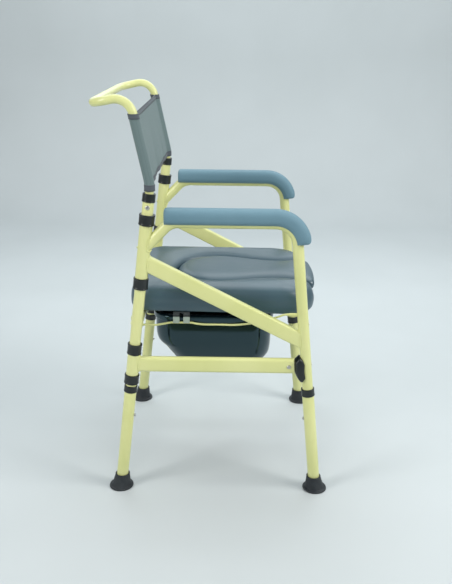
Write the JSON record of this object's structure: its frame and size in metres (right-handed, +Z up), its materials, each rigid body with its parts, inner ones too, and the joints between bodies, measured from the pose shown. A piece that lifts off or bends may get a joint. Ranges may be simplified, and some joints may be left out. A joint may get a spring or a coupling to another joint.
{
  "type": "folding commode chair",
  "caption": "Folding commode chair with padded seat and arms, a lift-out middle pad, a slide-out pail, a cloth back and legs that adjust in length.",
  "frame": {"origin": "on the floor, under the middle of the chair's box", "axes": "+Z up, the chair faces -Y, X runs across its width"},
  "size_m": [0.5284, 0.5499, 0.9392],
  "materials": {
    "powder_coat": "satin",
    "black_plastic": "satin",
    "soft_polyurethane": "satin",
    "sling_cloth": "matte",
    "pail_plastic": "gloss",
    "clip_plastic": "satin",
    "rubber": "matte",
    "zinc": "satin"
  },
  "bodies": {
    "back_frame": {"seat_crossbar": "powder_coat", "backrest_tube": "powder_coat", "sling": "sling_cloth", "upright_right": "powder_coat", "upper_stop_ring_right": "black_plastic", "upper_bearing_right": "black_plastic", "lower_bearing_right": "black_plastic", "lower_stop_ring_right": "black_plastic", "backrest_ferrule_right": "black_plastic", "backrest_screw_right": "zinc", "upright_left": "powder_coat", "upper_stop_ring_left": "black_plastic", "upper_bearing_left": "black_plastic", "lower_bearing_left": "black_plastic", "lower_stop_ring_left": "black_plastic", "backrest_ferrule_left": "black_plastic", "backrest_screw_left": "zinc"},
    "side_right": {"side_tube_right": "powder_coat", "upper_sleeve_right": "powder_coat", "lower_sleeve_right": "powder_coat", "diagonal_brace_right": "powder_coat", "lower_bar_right": "powder_coat", "leg_saddle_right": "black_plastic", "bar_screw_right": "zinc", "seat_stud_right": "zinc", "arm_pad_right": "soft_polyurethane"},
    "side_left": {"side_tube_left": "powder_coat", "upper_sleeve_left": "powder_coat", "lower_sleeve_left": "powder_coat", "diagonal_brace_left": "powder_coat", "lower_bar_left": "powder_coat", "leg_saddle_left": "black_plastic", "bar_screw_left": "zinc", "seat_stud_left": "zinc", "arm_pad_left": "soft_polyurethane"},
    "seat_unit": {"seat_cushion": "soft_polyurethane", "carrier_rod_right": "powder_coat", "carrier_rod_left": "powder_coat", "rod_clip_right": "clip_plastic", "rod_clip_left": "clip_plastic", "seat_hinge_clip_right": "clip_plastic", "seat_hinge_clip_left": "clip_plastic"},
    "middle_pad": {"middle_pad": "soft_polyurethane"},
    "pail": {"pail": "pail_plastic"},
    "leg_rear_right": {"leg_extension_rear_right": "powder_coat", "leg_cap_rear_right": "black_plastic", "foot_rear_right": "rubber"},
    "button_rear_right": {"button_rear_right": "zinc"},
    "leg_front_right": {"leg_extension_front_right": "powder_coat", "leg_cap_front_right": "black_plastic", "foot_front_right": "rubber"},
    "button_front_right": {"button_front_right": "zinc"},
    "leg_rear_left": {"leg_extension_rear_left": "powder_coat", "leg_cap_rear_left": "black_plastic", "foot_rear_left": "rubber"},
    "button_rear_left": {"button_rear_left": "zinc"},
    "leg_front_left": {"leg_extension_front_left": "powder_coat", "leg_cap_front_left": "black_plastic", "foot_front_left": "rubber"},
    "button_front_left": {"button_front_left": "zinc"}
  },
  "joints": [
    {"name": "side_swing_right", "type": "hinge", "parent": "back_frame", "child": "side_right", "pos_m": [-0.235, 0.18892, 0.33], "axis": [0, -0.1143, 0.9934], "range_deg": [0, 2]},
    {"name": "side_swing_left", "type": "hinge", "parent": "back_frame", "child": "side_left", "pos_m": [0.235, 0.18892, 0.33], "axis": [0, 0.1143, -0.9934], "range_deg": [0, 2]},
    {"name": "seat_lift", "type": "hinge", "parent": "back_frame", "child": "seat_unit", "pos_m": [0, 0.17764, 0.428], "axis": [-1, 0, 0], "range_deg": [0, 65]},
    {"name": "middle_pad_lift", "type": "slide", "parent": "seat_unit", "child": "middle_pad", "axis": [0, 0, -1], "range_m": [-0.25, 0]},
    {"name": "pail_slide", "type": "slide", "parent": "seat_unit", "child": "pail", "axis": [0, -1, 0], "range_m": [0, 0.16]},
    {"name": "leg_length_rear_right", "type": "slide", "parent": "back_frame", "child": "leg_rear_right", "axis": [0, 0.1143, -0.9934], "range_m": [0, 0.1]},
    {"name": "button_press_rear_right", "type": "slide", "parent": "leg_rear_right", "child": "button_rear_right", "axis": [0, 0.9934, 0.1143], "range_m": [0, 0.003], "stiffness_N_per_m": 300},
    {"name": "leg_length_front_right", "type": "slide", "parent": "side_right", "child": "leg_front_right", "axis": [0, -0.1063, -0.9943], "range_m": [0, 0.1]},
    {"name": "button_press_front_right", "type": "slide", "parent": "leg_front_right", "child": "button_front_right", "axis": [0, -0.9943, 0.1063], "range_m": [0, 0.003], "stiffness_N_per_m": 300},
    {"name": "leg_length_rear_left", "type": "slide", "parent": "back_frame", "child": "leg_rear_left", "axis": [0, 0.1143, -0.9934], "range_m": [0, 0.1]},
    {"name": "button_press_rear_left", "type": "slide", "parent": "leg_rear_left", "child": "button_rear_left", "axis": [0, 0.9934, 0.1143], "range_m": [0, 0.003], "stiffness_N_per_m": 300},
    {"name": "leg_length_front_left", "type": "slide", "parent": "side_left", "child": "leg_front_left", "axis": [0, -0.1063, -0.9943], "range_m": [0, 0.1]},
    {"name": "button_press_front_left", "type": "slide", "parent": "leg_front_left", "child": "button_front_left", "axis": [0, -0.9943, 0.1063], "range_m": [0, 0.003], "stiffness_N_per_m": 300}
  ]
}
